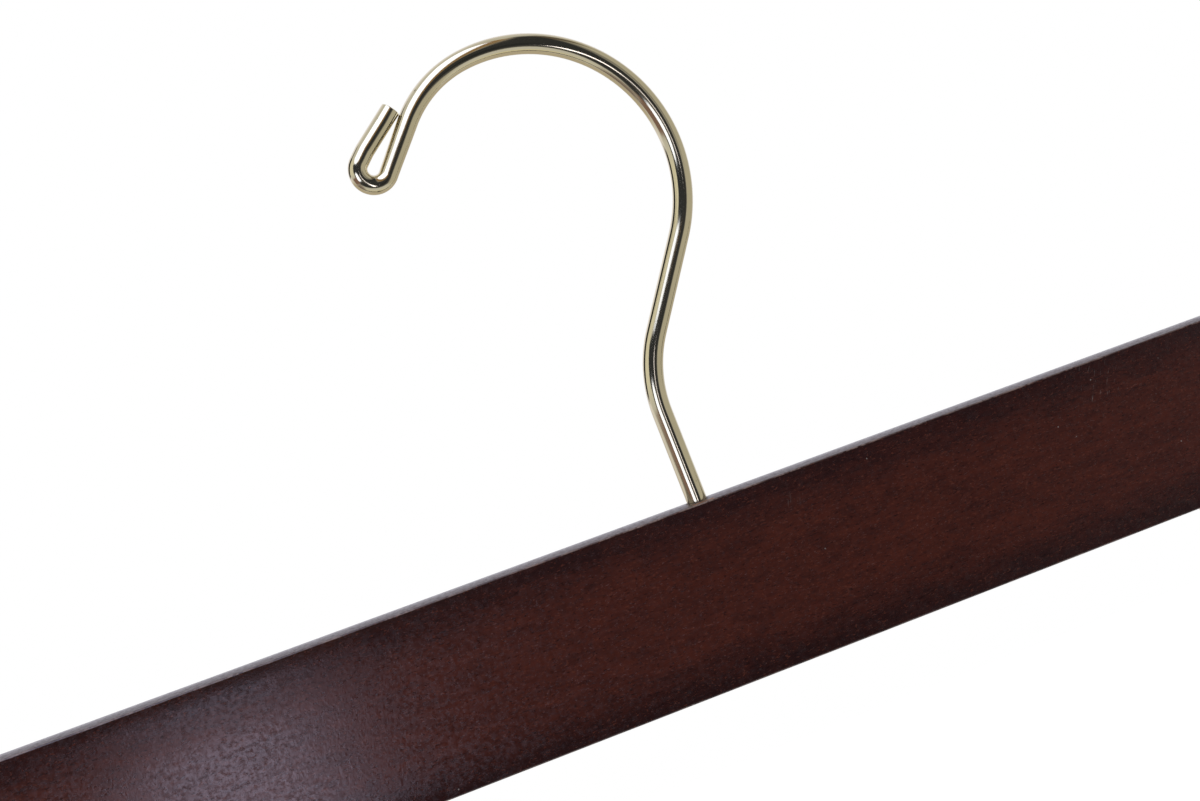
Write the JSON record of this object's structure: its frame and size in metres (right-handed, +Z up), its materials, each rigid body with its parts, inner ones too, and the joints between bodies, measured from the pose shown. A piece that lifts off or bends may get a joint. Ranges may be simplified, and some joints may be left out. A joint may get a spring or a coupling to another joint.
{
  "type": "wooden skirt hanger",
  "caption": "Flat dark wooden bar on a swivelling wire hook, with a padded spring clip sliding on a wire rail under each end.",
  "frame": {"origin": "where a closet rod bears on the hook: the inside of the crown's bend at its highest point", "axes": "+X along the wooden bar towards the hook's shank side, +Y through the bar from its front to its rear face, +Z up"},
  "size_m": [0.356, 0.0226, 0.1813],
  "materials": {
    "stained_wood": "dark mahogany stain under satin lacquer",
    "hook_plate": "polished pale brass plate on steel wire",
    "clip_plate": "polished pale brass plate on pressed steel and wire",
    "fastener_steel": "zinc plated",
    "spring_steel": "drawn spring wire, lightly oiled",
    "pad_rubber": "moulded matt black"
  },
  "bodies": {
    "hook": {"hook": "hook_plate", "hook_washer": "fastener_steel", "hook_nut": "fastener_steel"},
    "bar": {"wooden_bar": "stained_wood", "left_clip_rail": "clip_plate", "right_clip_rail": "clip_plate"},
    "left_carrier": {"left_hinge_tube": "clip_plate"},
    "left_front": {"left_front_jaw": "clip_plate", "left_front_pad": "pad_rubber", "left_spring": "spring_steel"},
    "left_rear": {"left_rear_jaw": "clip_plate", "left_rear_pad": "pad_rubber"},
    "right_carrier": {"right_hinge_tube": "clip_plate"},
    "right_front": {"right_front_jaw": "clip_plate", "right_front_pad": "pad_rubber", "right_spring": "spring_steel"},
    "right_rear": {"right_rear_jaw": "clip_plate", "right_rear_pad": "pad_rubber"}
  },
  "joints": [
    {"name": "hook_swivel", "type": "hinge", "parent": "hook", "child": "bar", "pos_m": [0.01075, 0, -0.1109], "axis": [0, 0, 1], "continuous": true},
    {"name": "left_clip_slide", "type": "slide", "parent": "bar", "child": "left_carrier", "axis": [1, 0, 0], "range_m": [-0.01, 0.01]},
    {"name": "left_clip_swing", "type": "hinge", "parent": "left_carrier", "child": "left_front", "pos_m": [-0.12325, 0, -0.15114], "axis": [1, 0, 0], "range_deg": [-110, 110]},
    {"name": "left_clip_open", "type": "hinge", "parent": "left_front", "child": "left_rear", "pos_m": [-0.12325, 0, -0.15114], "axis": [1, 0, 0], "range_deg": [0, 32], "stiffness_Nm_per_rad": 0.15, "springref_deg": -57.3, "deforming": ["left_spring"]},
    {"name": "right_clip_slide", "type": "slide", "parent": "bar", "child": "right_carrier", "axis": [1, 0, 0], "range_m": [-0.01, 0.01]},
    {"name": "right_clip_swing", "type": "hinge", "parent": "right_carrier", "child": "right_front", "pos_m": [0.14475, 0, -0.15114], "axis": [1, 0, 0], "range_deg": [-110, 110]},
    {"name": "right_clip_open", "type": "hinge", "parent": "right_front", "child": "right_rear", "pos_m": [0.14475, 0, -0.15114], "axis": [1, 0, 0], "range_deg": [0, 32], "stiffness_Nm_per_rad": 0.15, "springref_deg": -57.3, "deforming": ["right_spring"]}
  ]
}
